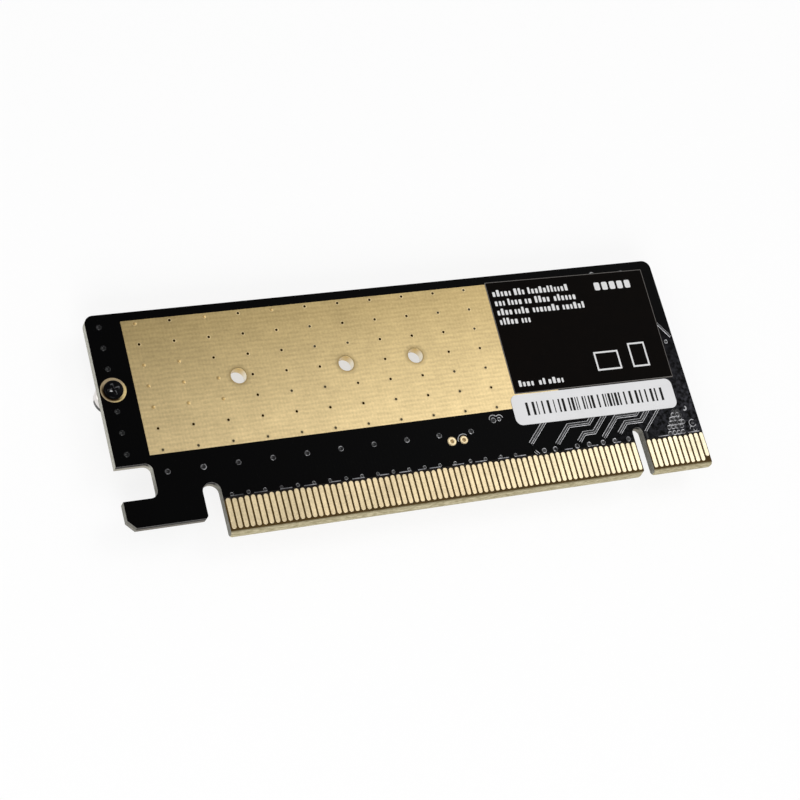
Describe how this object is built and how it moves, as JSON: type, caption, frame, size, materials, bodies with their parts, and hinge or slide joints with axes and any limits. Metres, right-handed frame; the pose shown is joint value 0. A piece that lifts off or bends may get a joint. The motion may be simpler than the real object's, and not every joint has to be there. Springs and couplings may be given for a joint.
{
  "type": "nvme adapter card",
  "caption": "Flat black circuit card with a long gold edge connector, a bare gold thermal area, a drive-module socket beneath and a round standoff.",
  "frame": {"origin": "under the middle of the card's outline, on the plane of the socket's lowest face", "axes": "+X along the card from the hook to the short bank of fingers, +Y from the insertion edge to the far edge, +Z out of the solder side"},
  "size_m": [0.0996, 0.0378, 0.0063],
  "materials": {
    "laminate": "cut glass-epoxy edge, dull",
    "solder_mask": "black satin",
    "thermal_gold": "gold-plated, finely banded",
    "finger_gold": "gold-plated, bright",
    "hole_plating": "gold-plated",
    "masked_traces": "copper under black mask",
    "socket_plastic": "moulded, black",
    "contact_gold": "gold-plated strip",
    "tinned_metal": "tinned",
    "standoff_metal": "turned, nickel-plated",
    "black_screw": "black oxide",
    "black_label": "printed film, matt",
    "white_label": "paper, matt",
    "capacitor_ceramic": "ceramic",
    "resistor_coat": "coated ceramic"
  },
  "bodies": {
    "root": {"board_laminate": "laminate", "solder_side_mask": "solder_mask", "component_side_mask": "solder_mask", "solder_side_copper": "thermal_gold", "component_side_copper": "thermal_gold", "solder_side_fingers": "finger_gold", "component_side_fingers": "finger_gold", "length_hole_barrels": "hole_plating", "screw_hole_eyelet": "hole_plating", "pin_pair_eyelets": "hole_plating", "solder_side_traces": "masked_traces", "component_side_traces": "masked_traces", "socket_housing": "socket_plastic", "socket_upper_contacts": "contact_gold", "socket_lower_contacts": "contact_gold", "socket_solder_tabs": "tinned_metal", "standoff": "standoff_metal", "standoff_screw": "black_screw", "black_label": "black_label", "white_label": "white_label", "bulk_capacitor_bodies": "capacitor_ceramic", "bulk_capacitor_terminals": "tinned_metal", "bypass_capacitor_bodies": "capacitor_ceramic", "bypass_capacitor_terminals": "tinned_metal", "resistor_bodies": "resistor_coat", "resistor_terminals": "tinned_metal"}
  },
  "joints": []
}
